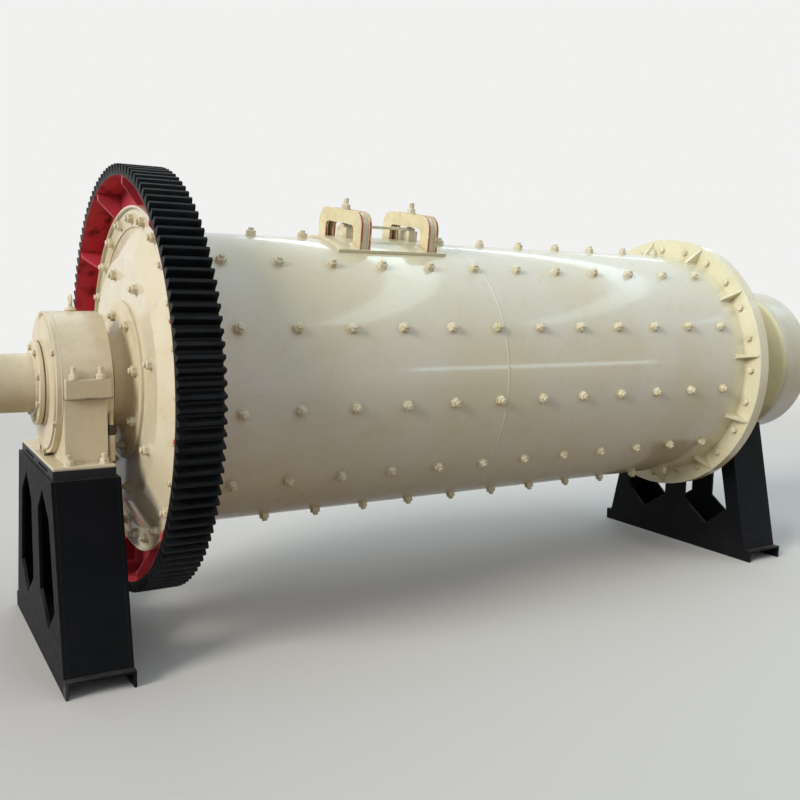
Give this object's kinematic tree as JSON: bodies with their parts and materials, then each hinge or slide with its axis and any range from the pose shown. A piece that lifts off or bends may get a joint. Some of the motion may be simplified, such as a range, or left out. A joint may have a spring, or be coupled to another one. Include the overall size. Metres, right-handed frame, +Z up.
{
  "type": "ball mill",
  "caption": "Ball mill: bolted cylindrical drum with a ring gear and a bow-clamped manhole, turning in split bearing housings on windowed pedestals.",
  "frame": {"origin": "floor point under the middle of the whole machine", "axes": "+X along the drum axis from the ring gear to the discharge end, +Z up, -Y is the side the picture shows"},
  "size_m": [4.401, 1.7218, 1.936],
  "materials": {
    "cream_paint": "gloss",
    "black_paint": "satin",
    "gear_black": "satin",
    "red_primer": "satin"
  },
  "bodies": {
    "base": {"near_bearing_base": "cream_paint", "near_bearing_cap": "cream_paint", "near_inner_cover": "cream_paint", "near_outer_cover": "cream_paint", "far_bearing_base": "cream_paint", "far_bearing_cap": "cream_paint", "far_inner_cover": "cream_paint", "far_outer_cover": "cream_paint", "near_base_channel": "black_paint", "near_pedestal_faces": "black_paint", "near_pedestal_sides": "black_paint", "near_sole_plate": "black_paint", "far_base_channel": "black_paint", "far_pedestal_faces": "black_paint", "far_pedestal_sides": "black_paint", "far_sole_plate": "black_paint"},
    "drum": {"shell": "cream_paint", "shell_gussets": "cream_paint", "near_head": "cream_paint", "near_trunnion": "cream_paint", "feed_tube": "cream_paint", "far_head": "cream_paint", "far_trunnion": "cream_paint", "discharge_tube": "cream_paint", "discharge_drum": "cream_paint", "manhole_frame": "cream_paint", "manhole_cover": "cream_paint", "manhole_bow_plates": "cream_paint", "manhole_bow_strips": "cream_paint", "manhole_clamp_blocks": "cream_paint", "manhole_tie_bar": "cream_paint", "gear_rim": "gear_black", "gear_web": "red_primer", "gear_ribs": "red_primer"}
  },
  "joints": [
    {"name": "drum_spin", "type": "hinge", "parent": "base", "child": "drum", "pos_m": [0, 0, 1.075], "axis": [1, 0, 0], "continuous": true}
  ]
}
